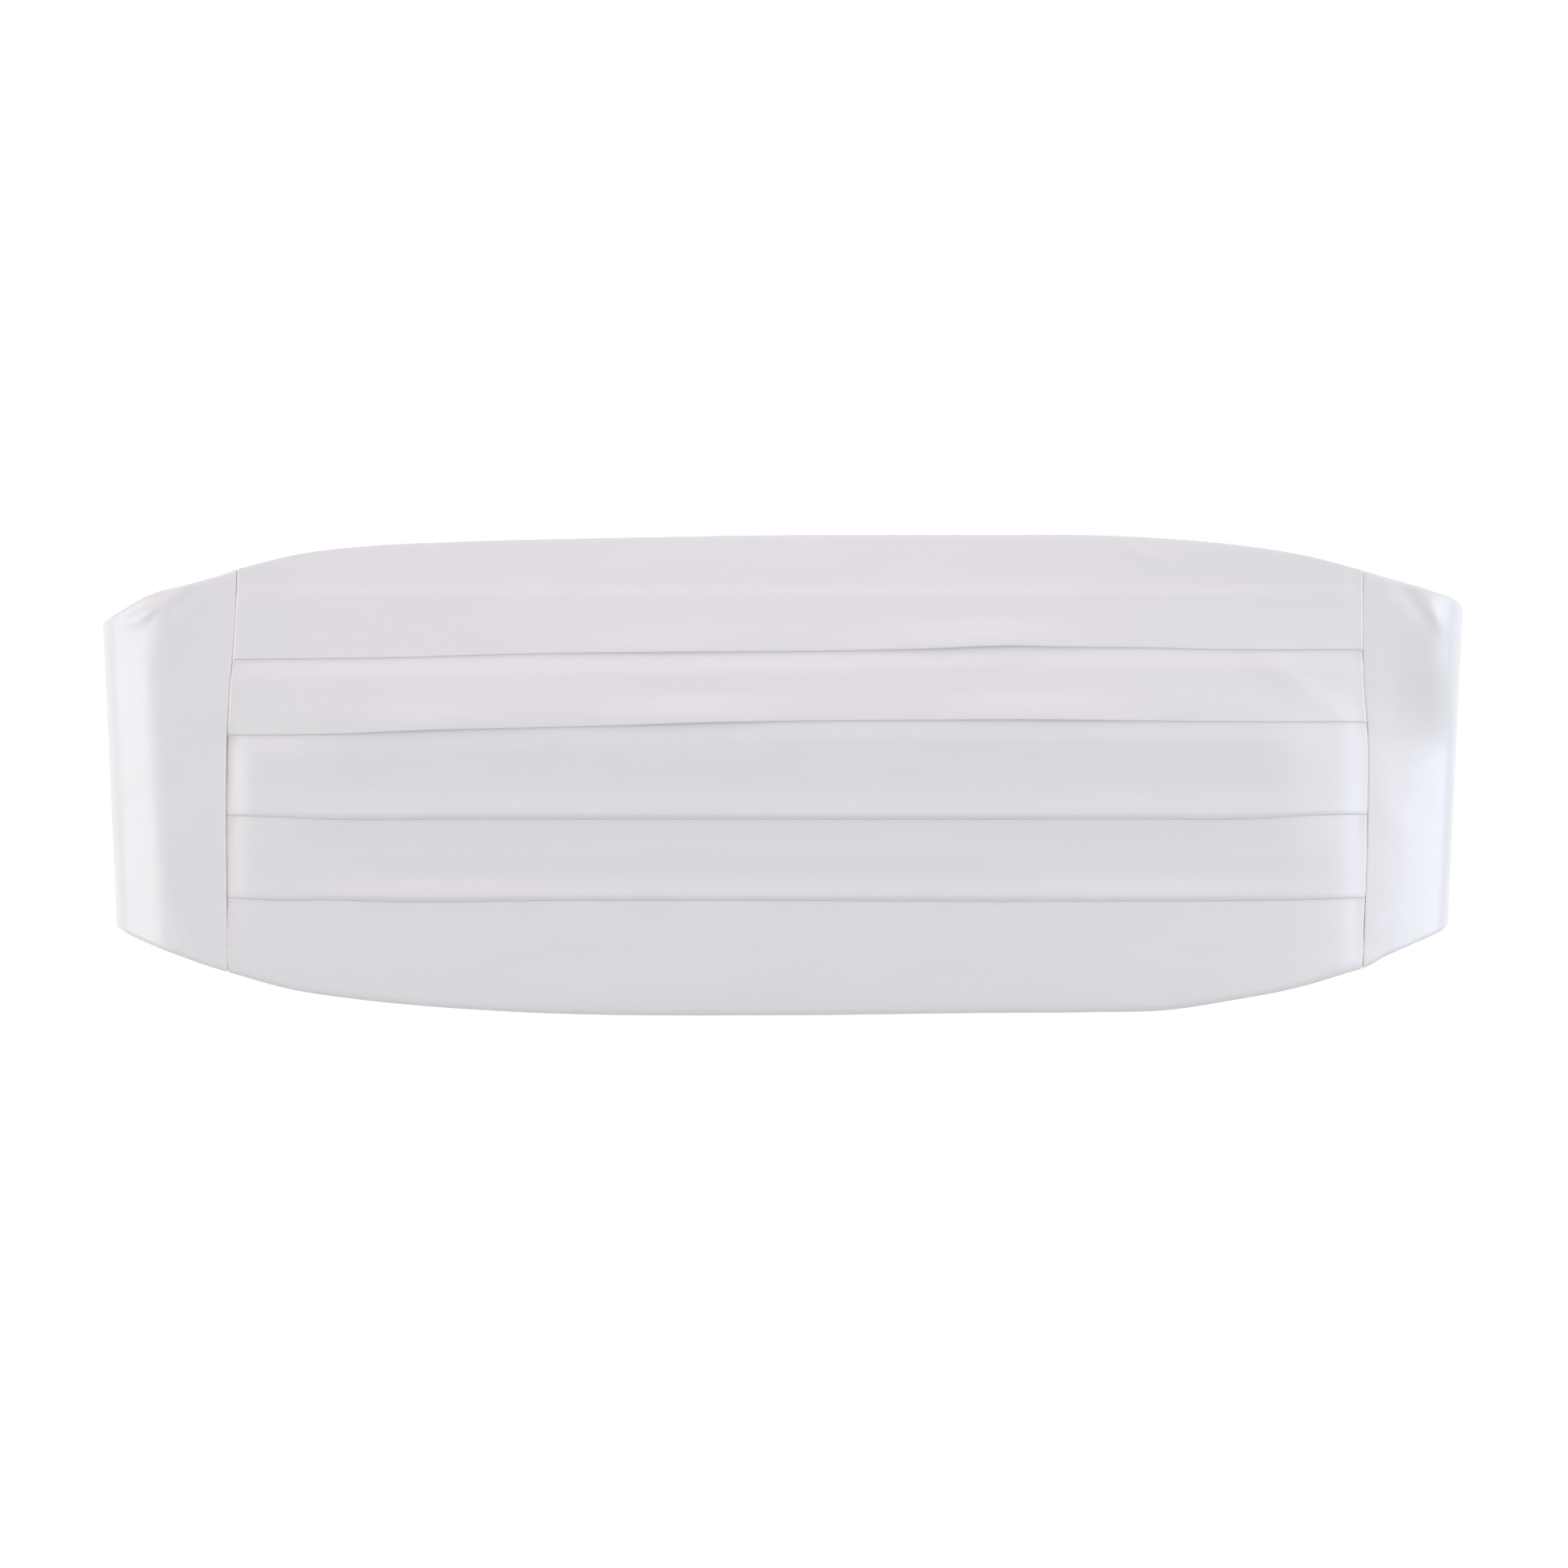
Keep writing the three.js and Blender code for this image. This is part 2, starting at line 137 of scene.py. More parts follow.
# rows of height and how far the seam strays towards +X
SEAM_STRAY = {
    "left": smooth([
        (-52, 0.12), (-32.5, 0), (-10.4, -0.21), (10.4, 0.06), (22.1, 0.66), (31.2, 1.5),
        (41.6, 2.19), (55.9, 2.73),
    ]),
    "right": smooth([
        (-52, -0.12), (-32.5, 0.66), (-10.4, 1.26), (10.4, 1.32), (22.1, 0.36), (31.2, 0), (55.9, 0),
    ]),
}


def seam_x(side, y):
    """Where a seam lies at a height."""
    return FRONT_SHIFT + SIDES[side] * PLEATED_WIDTH / 2 + SEAM_STRAY[side](y)


print("front height in the middle:", float(FRONT_TOP(153) - FRONT_BOTTOM(153)))

# %% [markdown]
# ## From flat cut to folded cloth
#
# A sheet of cloth starts as a flat grid. Each of its points is then moved to where folding puts it,
# and the flat places are kept as the UV map, so that the weave runs along the cloth and turns with
# every fold. Solidify gives the wall, half to each side. A simulation could fold it too, but a pressed
# pleat is a sharp, planned fold, and code places it exactly.


# %% A sheet of cloth
def deselect_all():
    bpy.ops.object.select_all(action="DESELECT")


def only(piece):
    """Make one piece the selected and active one."""
    deselect_all()
    piece.select_set(True)
    bpy.context.view_layer.objects.active = piece


def apply_modifier(piece, kind, **settings):
    only(piece)
    bpy.ops.object.modifier_add(type=kind)
    modifier = piece.modifiers[-1]
    for name, value in settings.items():
        setattr(modifier, name, value)
    bpy.ops.object.modifier_apply(modifier=modifier.name)


def shade_by_angle(piece, degrees):
    """Smooth shading everywhere but over edges that turn by more than an angle."""
    only(piece)
    bpy.ops.object.shade_smooth_by_angle(angle=math.radians(degrees))


def flat_lengths(points, axis):
    """Distances along a grid of points, summed along one of its directions."""
    steps = np.linalg.norm(np.diff(points, axis=axis), axis=2)
    start = np.zeros_like(np.take(points[..., 0], [0], axis=axis))
    return np.concatenate([start, np.cumsum(steps, axis=axis)], axis=axis)


def sew_cloth(name, points, flat, wall, tube=False, turned=None):
    """A cloth through a grid of points in millimetres.

    Its UV map holds the flat places, and turned says how much of a painted warm seam shade each point
    takes.
    """
    rows, columns = points.shape[:2]
    deselect_all()
    bpy.ops.mesh.primitive_grid_add(x_subdivisions=columns - 1, y_subdivisions=rows - 1, size=1)
    piece = bpy.context.object
    piece.name = piece.data.name = name
    piece.data.vertices.foreach_set("co", ((points + MIDDLE) * MM).ravel())
    corner = np.zeros(len(piece.data.loops), int)
    piece.data.loops.foreach_get("vertex_index", corner)
    piece.data.uv_layers.active.data.foreach_set("uv", (flat.reshape(-1, 2)[corner] * MM).ravel())
    if turned is not None:
        shares = np.broadcast_to(turned, (rows, columns)).ravel().astype(np.float32)
        piece.data.attributes.new("turned", "FLOAT", "POINT").data.foreach_set("value", shares)
    if tube:
        only(piece)
        bpy.ops.object.mode_set(mode="EDIT")
        bpy.ops.mesh.select_all(action="SELECT")
        bpy.ops.mesh.remove_doubles(threshold=1e-7)
        bpy.ops.mesh.normals_make_consistent(inside=False)
        bpy.ops.object.mode_set(mode="OBJECT")
    apply_modifier(piece, "SOLIDIFY", thickness=wall * MM, offset=0, use_even_offset=True)
    shade_by_angle(piece, 50)
    print(name, len(piece.data.polygons), "faces")
    return piece


# %% [markdown]
# ## How the whole lies
#
# The front sags a little between its ends, and the lower half of the right end sinks more than the
# rest. Soft creases and puckers are low bumps, each with a place, a length, a width and a height. All
# layers of the cloth get the same ones, so no layer comes through another.

# %% Sag, slump, creases and unevenness
# the share of its height by which the right end sinks in its lower half, by place
RIGHT_SLUMP = smooth([(138, 0), (150, 0.06), (158, 0.145), (168, 0.255), (174, 0.285), (184, 0.295)])
# how high the front stands along its middle lines, by height as worn
SWELL = smooth([
    (-65, -0.3), (-60, 0), (-54, 0), (-46, -0.15), (-40, -0.2), (-33.6, -0.1), (-27, -0.4), (-19, 0),
    (-11.6, 0.8), (-4, 0.7), (5, 1.15), (14.5, 1.75), (24, 1.2), (34, 0.55), (50, -0.25), (65, -1.15),
])
# x, y, half length, half width, direction in degrees, height
WAVES = [(150, 70, 48, 20, 0, 2.0)]  # one wide wave that runs on over the right seam
CREASES = [
    (138, 26, 15, 2.6, -38, 0.35),
    (132, 20, 12, 3.0, -38, -0.2),
    (100, 58.5, 9, 1.6, -25, 0.3),
    (106, 55.5, 8, 1.8, -28, -0.15),
    (95, -60, 9, 5, 0, 0.3),
    (-60, 24, 40, 3.2, 2, 0.10),
    (10, -22, 60, 4.0, -1, 0.08),
    (-90, -48, 35, 3.5, 3, 0.10),
    (60, -50, 45, 4.0, -2, 0.08),
    (40, 48, 50, 4.0, 1, 0.08),
    (-149, 40, 6, 1.6, 65, 0.2),
    (151, -50, 6, 1.8, 20, 0.3),
]


def slump(x, y):
    """The share of its height that a point loses where the right end sinks."""
    return RIGHT_SLUMP(x) * ease(46, 3, y)


def creases(x, y, rows):
    """The height of all the bumps in some rows."""
    height = np.zeros(np.broadcast(x, y).shape)
    for middle_x, middle_y, length, width, degrees, rise in rows:
        cos, sin = math.cos(math.radians(degrees)), math.sin(math.radians(degrees))
        along = ((x - middle_x) * cos + (y - middle_y) * sin) / length
        across = ((y - middle_y) * cos - (x - middle_x) * sin) / width
        height = height + rise * np.exp(-(along**2) - across**2)
    return height


def unevenness(x, y, size_x, size_y, height, seed):
    """Low waves of no fixed form, the same in every run."""
    spots = np.stack(np.broadcast_arrays(x / size_x, y / size_y, float(seed)), axis=-1)
    waves = [noise.noise(Vector(spot)) for spot in spots.reshape(-1, 3)]
    return height * np.array(waves).reshape(spots.shape[:-1])


def sag(from_left, y):
    """How far the front hangs below its seams."""
    across = np.clip(from_left / PLEATED_WIDTH, 0, 1)
    return np.sin(np.pi * across) ** 2 * (SAG + EDGE_DROOP * (y / 65) ** 2)


print("sag in the middle:", float(sag(PLEATED_WIDTH / 2, 0)))

# %% [markdown]
# ## The pleated front
#
# One cloth makes the whole front. From the top hem it runs down each band, folds under at the band's
# lower edge, goes up behind it and comes down again as the next band, so three layers lie over each
# other behind every edge. The rows follow that path, closely at the folds and widely on the bands.

# %% The path of the folded cloth
FOLD = LAYER / 2  # radius of a fold's middle line
REACH = FOLD + CLOTH / 2  # a fold's edge lies this far from its centre
RISE = (3.5, 6, 6, 12, 12)  # run in which each band comes up over the hem or pleat behind it
FLAP = 8  # how far above its edge a pleat can lift
SOFT = (0.4, 0.4, 1.4, 1.4)  # how widely each pleat's edge rounds down on the band below
EDGE_LAYER = 1.1  # the layer to which it rounds down
BOTTOM_SOFT, BOTTOM_LAYER = 2, -1.5  # the same for the bottom edge
BACK_IN, BACK_DOWN = 0.12, 0.15  # how far an edge then turns in, in millimetres, and down, in layers


def folded_path(top, bottom, edges):
    """Heights and layers of the cloth at each row, and the pleat whose flap a row belongs to."""
    heights, layers, flaps = [], [], []
    ones = np.ones_like(top)

    def add(y, layer, flap):
        heights.append(y * ones)
        layers.append(layer * ones)
        flaps.append(flap)

    def run(y0, y1, layer0, layer1, steps, flap=-1):
        """Even steps from one height and layer to another."""
        for i in range(1, steps + 1):
            share = i / steps
            add(y0 + (y1 - y0) * share, layer0 + (layer1 - layer0) * ease(0, 1, share), flap)

    def turn_over(y, upwards, steps):
        """Half a turn round an upper fold, between the two lowest layers."""
        for i in range(1, steps + 1):
            angle = math.pi * i / steps
            add(y + FOLD * math.sin(angle), 0.5 - upwards * math.cos(angle) / 2, -1)

    def round_down(edge, width, high, low, flap=-1):
        """An edge that rounds down softly and then folds back under itself."""
        lowest = edge + CLOTH / 2
        for angle in np.radians(np.linspace(11.25, 90, 8)):
            add(lowest + width * (1 - math.sin(angle)), low + (high - low) * math.cos(angle), flap)
        for angle in np.radians((30, 60, 90)):
            add(lowest + BACK_IN * (1 - math.cos(angle)), low - BACK_DOWN * math.sin(angle), flap)

    add(HEM_TOP, 0, -1)
    run(HEM_TOP, top - REACH, 0, 0, 5)
    turn_over(top - REACH, 1, 8)
    run(top - REACH, HEM_TOP + 1, 1, 1, 10)
    start, behind, steps = HEM_TOP + 1, 1, 7
    for number, edge in enumerate(edges):
        risen, inside = start - RISE[number], edge + PLEAT_DEPTH - REACH
        run(start, risen, behind, 2, steps)
        run(risen, edge + FLAP, 2, 2, 6)
        run(edge + FLAP, edge + CLOTH / 2 + SOFT[number], 2, 2, 8, number)
        round_down(edge, SOFT[number], 2, EDGE_LAYER, number)
        run(edge + CLOTH / 2 + BACK_IN, inside, EDGE_LAYER - BACK_DOWN, 1, 6, number)
        turn_over(inside, -1, 6)
        run(inside, edge, 0, 0, 4)
        start, behind, steps = edge, 0, 10
    run(start, start - RISE[-1], behind, 1, steps)
    run(start - RISE[-1], bottom + CLOTH / 2 + BOTTOM_SOFT, 1, 1, 14)
    round_down(bottom, BOTTOM_SOFT, 1, BOTTOM_LAYER)
    run(bottom + CLOTH / 2 + BACK_IN, HEM_BOTTOM, BOTTOM_LAYER - BACK_DOWN, 0, 7)
    return np.array(heights), np.array(layers), np.array(flaps)[:, None]


# %% Columns along the front
ALLOWANCE = 9.0  # cloth that runs on inside the end panel past each seam
half = np.r_[
    np.linspace(-ALLOWANCE, -1, 4)[:-1],
    np.linspace(-1, 3, 18)[:-1],
    np.linspace(3, 14, 9)[:-1],
    np.linspace(14, PLEATED_WIDTH / 2, 60),
]
from_left = np.r_[half, PLEATED_WIDTH - half[-2::-1]]
heights, layers, flaps = folded_path(
    FRONT_TOP(from_left), FRONT_BOTTOM(from_left), [edge(from_left) for edge in PLEAT_EDGES]
)
print("rows and columns:", heights.shape)

# %% [markdown]
# ## Pressed and lifted edges
#
# The two upper pleats lift a little here and there, so their lines are wider in some places. The two
# lower ones swell just above their edges and round down widely, so their shadows are softer. Near
# each seam the cloth goes down under the end panel's edge.

# %% Lift, seam and place of every point
# rows of x from the left seam and how far each pleat lifts there
LIFTS = [
    smooth([(0, 0), (80, 0.1), (120, 0.35), (150, 0.15), (175, 0.25), (192, 0.65), (212, 0.6), (232, 0.2),
            (306, 0)]),
    smooth([(0, 0), (30, 0.1), (52, 0.65), (70, 0.3), (95, 0.15), (118, 0.7), (134, 0.6), (155, 0.15),
            (190, 0.15), (212, 0.55), (228, 0.5), (250, 0.05), (306, 0)]),
    smooth([(0, 0), (25, 0.15), (60, 0.25), (130, 0.3), (210, 0.25), (260, 0.2), (290, 0.1), (306, 0)]),
    smooth([(0, 0), (20, 0.15), (45, 0.3), (90, 0.25), (200, 0.25), (280, 0.2), (306, 0)]),
]
CLOSED = (0, 0, 1, 1)  # whether a lifted pleat comes down again at its very edge
LIFT_RUN = (9, 0.5)  # between these heights above its edge a pleat lifts
CLOSE_RUN = (1.6, 0.1)  # and between these a closed one comes down again
GENTLE_RUN = (7, 0)  # between these distances inside a seam the cloth goes down gently
STEEP_RUN = (0.4, -0.3)  # and between these steeply, under the panel's edge
# how far it goes down gently and steeply, by height
SEAM_SLOPE = {
    "left": smooth([(-56, 0.15), (-38, 0.3), (-31, 1), (-14, 1.1), (8, 1.2), (14, 0.35), (56, 0.15)]),
    "right": smooth([(-56, 0.3), (-12, 0.35), (10, 0.3), (20, 0.2), (56, 0.25)]),
}
SEAM_DROP = {
    "left": smooth([(-56, 0.25), (8, 0.22), (16, 0.5), (56, 0.5)]),
    "right": smooth([(-56, 0.35), (56, 0.4)]),
}


def lift_of_flaps(from_left, y, flaps):
    """How far the pleats' lower parts stand up from the band below."""
    lifted = np.zeros(y.shape)
    for number, edge in enumerate(PLEAT_EDGES):
        above = y - edge(from_left)
        shape = ease(*LIFT_RUN, above) * (1 - CLOSED[number] * ease(*CLOSE_RUN, above))
        lifted += (flaps == number) * LIFTS[number](from_left) * shape
    return lifted


def seam_dip(side, inside, y):
    """How far the pleated cloth has gone down at a distance inside a seam."""
    gentle = SEAM_SLOPE[side](y) * ease(*GENTLE_RUN, inside)
    return gentle + SEAM_DROP[side](y) * ease(*STEEP_RUN, inside)


inside = np.minimum(from_left, PLEATED_WIDTH - from_left)
# the ends narrow to fit inside the end panels
SEAM_HALF_HEIGHT = 56
taken_in = 1.8 * ease(0.6, -0.6, inside) + 0.4 * np.clip(-inside, 0, None)
heights = heights * (1 - taken_in / SEAM_HALF_HEIGHT)
seams = {side: seam_x(side, heights) for side in SIDES}
share = from_left / PLEATED_WIDTH
front_x = seams["left"] * (1 - share) + seams["right"] * share
dip = np.where(
    from_left < PLEATED_WIDTH / 2, seam_dip("left", inside, heights), seam_dip("right", inside, heights)
)
squeeze = 1 - 0.45 * ease(3, 0, inside)  # the seam presses the layers together
front_z = (
    FACE_HEIGHT
    - CLOTH / 2
    - (2 - layers) * LAYER * squeeze
    + lift_of_flaps(from_left, heights, flaps)
    - sag(from_left, heights)
    - dip
    + SWELL(heights) * ease(0, 30, inside)
    + creases(front_x, heights, WAVES + CREASES)
    + unevenness(front_x, heights, 45, 14, 0.16, 3) * ease(0, 12, inside)
)
front_z = front_z * (1 - slump(front_x, heights))
front_points = np.stack([front_x, heights, front_z], axis=-1)
front_flat = np.stack(
    [np.broadcast_to(from_left, heights.shape), flat_lengths(front_points, 0)], axis=-1
)
# turned paints a warm shade on the seam line: full past each seam, fading out 0.3 mm inside it
pleated = sew_cloth("pleated_cloth", front_points, front_flat, CLOTH, turned=ease(0.3, 0, inside))

# %% [markdown]
# ## The end panels
#
# Each end panel is a flattened tube of satin: a face and a facing, turned at the top and bottom. It
# closes over the pleated cloth's end at the seam, runs out flat, rolls under and ends in a tip
# behind. The tube is a grid of rings along the roll, which joins to itself at the top edge.

# %% The roll that the panels follow
PANEL = 2.0  # face and facing together
SEAM_PANEL = 2.7  # the same at the seam, where it takes in the pleated cloth
LIP = 0.35  # radius of the edge turned in at the seam and at the tip
SEAM_GAP = 0.1  # from the seam's line to the panel's edge
LEAN = math.tan(math.radians(2.65))  # how the folds lean outwards towards the top
# the shoulder's radius and degrees and the slope's length, for the two ways in which a panel rolls
LOOSE_ROLL = (14, 24, 6.3)
TIGHT_ROLL = (9, 8, 0)
# share of the way from seam to tip, and the panel's top and bottom there
END_TAPER = {
    "left": [(0.12, 51.6, -50.2), (0.226, 48.8, -47.2), (0.29, 46.3, -45.1), (0.357, 43.4, -42.8),
             (0.452, 40.6, -39.8)],
    "right": [(0.095, 52.4, -48.8), (0.149, 51.1, -46.9), (0.214, 49.3, -44.6), (0.286, 47.5, -42.3),
              (0.363, 44.6, -39.8)],
}


class Roll:
    """The outer face from its seam to its tip: a shoulder, a slope, then the roll down to the surface."""

    def __init__(self, seam, tip, shoulder_radius, shoulder_degrees, slope):
        self.seam, self.slope, self.shoulder = seam, slope, shoulder_radius
        self.bend = math.radians(shoulder_degrees)
        sin, cos = math.sin(self.bend), math.cos(self.bend)
        drop = shoulder_radius * (1 - cos) + slope * sin
        self.radius = (FACE_HEIGHT - drop) / (1 + cos)
        self.middle = FOLD_X - self.radius
        self.flat = self.middle - (shoulder_radius - self.radius) * sin - slope * cos - seam
        self.ends = np.cumsum([
            self.flat, shoulder_radius * self.bend, slope, self.radius * (math.pi - self.bend),
            self.middle - tip,
        ])

    def at(self, along):
        """Place and outward direction at distances from the seam."""
        gentle = np.clip(along - self.ends[0], 0, self.shoulder * self.bend) / self.shoulder
        straight = np.clip(along - self.ends[1], 0, self.slope)
        tight = np.clip(along - self.ends[2], 0, self.ends[3] - self.ends[2]) / self.radius
        sin, cos = math.sin(self.bend), math.cos(self.bend)
        x = self.seam + np.clip(along, 0, self.flat) + self.shoulder * np.sin(gentle) + straight * cos
        x = x + self.radius * (np.sin(self.bend + tight) - sin) - np.clip(along - self.ends[3], 0, None)
        z = FACE_HEIGHT - self.shoulder * (1 - np.cos(gentle)) - straight * sin
        z = z - self.radius * (cos - np.cos(self.bend + tight))
        turned = gentle + tight
        return x, z, np.sin(turned), np.cos(turned)


loose = Roll(PLEATED_WIDTH / 2 - FRONT_SHIFT, TIP_X["left"], *LOOSE_ROLL)
print("roll radius:", round(loose.radius, 2), "mm")

# %% [markdown]
# The right fold is tight in its upper half and looser in its lower half, and the left one is loose
# all the way. So a panel follows two rolls, and its height says how much of each.

# %% Rings of the end panels
PANEL_CREASES = {
    "left": [
        (-164, 49, 5, 1.2, 55, 0.7), (-170, 45, 6, 1.2, 45, 0.6), (-167, 47, 5, 1.1, 50, -0.15),
        (-160, 51, 6, 1.1, 40, 0.5), (-158, 47, 7, 1.1, 60, 0.4), (-175, 42.5, 4, 1.1, 36, 0.4),
        (-166, 43, 9, 3.5, 90, 0.7), (-162, -44.5, 6, 1.3, -70, 0.6), (-153, 2, 2.5, 16, 0, 0.2),
    ],
    "right": [
        (175, 45, 6, 1.5, -62, 0.6), (170, 47, 6, 1.6, -55, -0.35), (163, 49, 5, 2, -80, 0.2),
        (160, -40, 5, 2.5, 30, 0.25), (165, -12, 10, 5, -70, 0.25), (161, 25, 3, 16, 0, 0.1),
    ],
}
# how much of the loose roll each panel follows, by height
LOOSE = {"left": np.ones_like, "right": lambda y: 0.65 * ease(30, 4, y)}
FACE_ROWS, FACING_ROWS = 85, 31  # points down the face and up the facing
RIM = 0.4  # the turned edges are this much flatter than a half circle
NEAR_SEAM, NEAR_TIP = 6, 3  # how far from the seam and the tip the rings lie close together
THINNING = (4, 22)  # between these distances from the seam the panel gets thinner
SEAM_TURN = 0.4  # how much of the lip the facing has at the seam
LEAN_FADES = 36  # how far from the tip the lean starts to fade


def ring(top, bottom, outer, inner):
    """One ring of a tube: heights and depths down the face, round, up the facing and round."""
    radius, middle = (inner - outer) / 2, (inner + outer) / 2
    rim = RIM * radius
    high, low = top - CLOTH / 2 - rim, bottom + CLOTH / 2 + rim
    round_top = np.linspace(0, math.pi, 9)[1:]
    round_bottom = round_top[:-1]
    heights = np.r_[
        np.linspace(high, low, FACE_ROWS), low - rim * np.sin(round_bottom),
        np.linspace(low, high, FACING_ROWS), high + rim * np.sin(round_top),
    ]
    depths = np.r_[
        np.full(FACE_ROWS, outer), middle - radius * np.cos(round_bottom),
        np.full(FACING_ROWS, inner), middle + radius * np.cos(round_top),
    ]
    return heights, depths


def panel_points(side):
    """The grid of one end panel, ring by ring from the seam to the tip, and how far along each is."""
    sign = SIDES[side]
    seam = PLEATED_WIDTH / 2 + sign * FRONT_SHIFT
    loose = Roll(seam, TIP_X[side], *LOOSE_ROLL)
    tight = Roll(seam, TIP_X[side], *TIGHT_ROLL)
    start = SEAM_GAP + CLOTH / 2
    length = loose.ends[-1] - start
    quarter = np.linspace(0, math.pi / 2, 7)
    share = np.r_[
        (1 - np.cos(quarter))[:-1] * LIP / length,
        np.linspace(LIP, NEAR_SEAM, 12)[:-1] / length,
        np.linspace(NEAR_SEAM / length, 1 - NEAR_TIP / length, 62)[:-1],
        1 - np.linspace(NEAR_TIP, LIP, 5)[:-1] / length,
        1 - (1 - np.sin(quarter)) * LIP / length,
    ]
    seam_across = 0 if side == "left" else PLEATED_WIDTH
    rows = [(0, float(FRONT_TOP(seam_across)), float(FRONT_BOTTOM(seam_across)))]
    rows += END_TAPER[side] + [(1, 20, -20)]
    top, bottom = (smooth([(row[0], row[i]) for row in rows]) for i in (1, 2))
    points, flat = [], []
    for at in share:
        along = at * length
        from_end = min(along, length - along)
        turned_in = LIP - math.sqrt(max(LIP**2 - max(LIP - from_end, 0) ** 2, 0))
        thickness = SEAM_PANEL + (PANEL - SEAM_PANEL) * float(ease(*THINNING, along))
        inner = thickness - CLOTH / 2 - turned_in * (SEAM_TURN if along < NEAR_SEAM else 1)
        heights, depths = ring(float(top(at)), float(bottom(at)), CLOTH / 2 + turned_in, inner)
        weight = LOOSE[side](heights)
        gentle, sharp = loose.at(along + start), tight.at(at * (tight.ends[-1] - start) + start)
        x, z, out, up = (a * weight + b * (1 - weight) for a, b in zip(gentle, sharp))
        size = np.hypot(out, up)
        past = ease(0, loose.flat, along)
        lean = past * (1 - ease(length - LEAN_FADES, length, along)) * LEAN * heights
        x = sign * (x - out / size * depths + lean) + (1 - past) * SEAM_STRAY[side](heights)
        z = z - up / size * depths
        points.append(np.stack([x, heights, z], axis=-1))
        flat.append(np.full(len(heights), along))
    return np.array(points), np.array(flat)


# %% Sew both end panels
ON_TOP = (9, 14)  # between these heights above the surface the creases come in
SEAM_SHARE = 0.5  # beside a seam the panel goes down by this share of the pleated cloth's slope
panels = {}
for side, sign in SIDES.items():
    points, along = panel_points(side)
    x, y, z = np.moveaxis(points, -1, 0)
    on_top = ease(*ON_TOP, z)
    seam_distance = np.abs(x - seam_x(side, y))
    z = z + on_top * creases(x, y, WAVES + PANEL_CREASES[side])
    z = z - on_top * SEAM_SHARE * SEAM_SLOPE[side](y) * ease(6, 0, seam_distance)
    z = z + on_top * unevenness(x, y, 12, 26, 0.22, 11) * ease(0, 6, seam_distance)
    z = z + on_top * unevenness(x, y, 14, 3.2, 0.12, 5) * ease(7, 1, seam_distance)
    points[..., 2] = z * (1 - slump(x, y))
    flat = np.stack([along, flat_lengths(points, 1)], axis=-1)
    # turned paints the same warm shade on each panel's lip at the seam, over its first 0.35 mm
    panels[side] = sew_cloth(
        f"end_panel_cloth_{side}", points, flat, CLOTH, tube=True, turned=ease(0.35, 0.15, along)
    )

# %% [markdown]
# ## The elastic straps
#
# A strap is flat woven elastic. It is sewn inside the tip, comes down to the surface, goes under the
# clasp's bar and back over itself. Its path is drawn once from the side, in straight and round runs,
# and the cloth helper gives it width and thickness.

# %% Strap paths
STRAP_WIDTH, STRAP_WALL = 25.0, 1.2
STRAP_COLUMNS = 13
CLASP_LENGTH = 21.0  # along the band: a bar, a slot, the middle, a slot and a bar
CLASP_BAR, CLASP_SLOT, CLASP_MIDDLE = 3.0, 4.5, 6.0
CLASP_FLOOR, CLASP_WALL = 1.5, 2.4  # its underside above the surface, and its thickness
STRAP_LAP, STRAP_SLOPE, FOLD_BACK = 16.0, 9.0, 24.0  # inside the tip, on the way down, sewn back
PAST_TIP, PAST_CLASP, BACK_SLOPE = 1.5, 1, 7  # straight past each, and the way down behind the clasp
# heights of the strap's middle line
ON_TIP = PANEL + 0.05 + STRAP_WALL / 2
ON_SURFACE = STRAP_WALL / 2
ON_ITSELF = ON_SURFACE + STRAP_WALL + 0.1
OVER_BAR = CLASP_FLOOR + CLASP_WALL + 0.3 + STRAP_WALL / 2


def slope(x0, x1, z0, z1, steps):
    """Points of a path that goes softly from one height to another."""
    share = np.linspace(0, 1, steps)
    return np.stack([x0 + (x1 - x0) * share, z0 + (z1 - z0) * ease(0, 1, share)], axis=1)


def strap_path(side):
    """The strap's middle line, from inside the tip to its sewn end, counted outwards."""
    tip = TIP_X[side]
    leaves = tip - PAST_TIP
    inside_bar = CLASP_LENGTH / 2 - CLASP_BAR
    clear = CLASP_LENGTH / 2 + PAST_CLASP
    angle = np.radians(np.linspace(270, 90, 21))
    radius = (OVER_BAR - ON_SURFACE) / 2
    loop = np.stack([inside_bar + radius * np.cos(angle), ON_SURFACE + radius + radius * np.sin(angle)], 1)
    return np.concatenate([
        slope(tip + STRAP_LAP, leaves, ON_TIP, ON_TIP, 10),
        slope(leaves, leaves - STRAP_SLOPE, ON_TIP, ON_SURFACE, 16)[1:],
        slope(leaves - STRAP_SLOPE, inside_bar, ON_SURFACE, ON_SURFACE, 46)[1:],
        loop[1:],
        slope(inside_bar, clear, OVER_BAR, OVER_BAR, 4)[1:],
        slope(clear, clear + BACK_SLOPE, OVER_BAR, ON_ITSELF, 12)[1:],
        slope(clear + BACK_SLOPE, inside_bar + FOLD_BACK, ON_ITSELF, ON_ITSELF, 8)[1:],
    ])


straps = {}
for side, sign in SIDES.items():
    path = strap_path(side)
    across = np.linspace(-STRAP_WIDTH / 2, STRAP_WIDTH / 2, STRAP_COLUMNS) * sign
    points = np.stack(np.broadcast_arrays(sign * path[:, :1], across, path[:, 1:]), axis=-1)
    flat = np.stack([flat_lengths(points, 0), points[..., 1]], axis=-1)
    straps[side] = sew_cloth(f"elastic_strap_{side}", points, flat, STRAP_WALL)
    apply_modifier(
        straps[side], "BEVEL", width=0.35 * MM, segments=3, limit_method="ANGLE",
        angle_limit=math.radians(60),
    )
    shade_by_angle(straps[side], 50)
    print("strap length:", round(float(flat[-1, 0, 0]), 1), "mm")

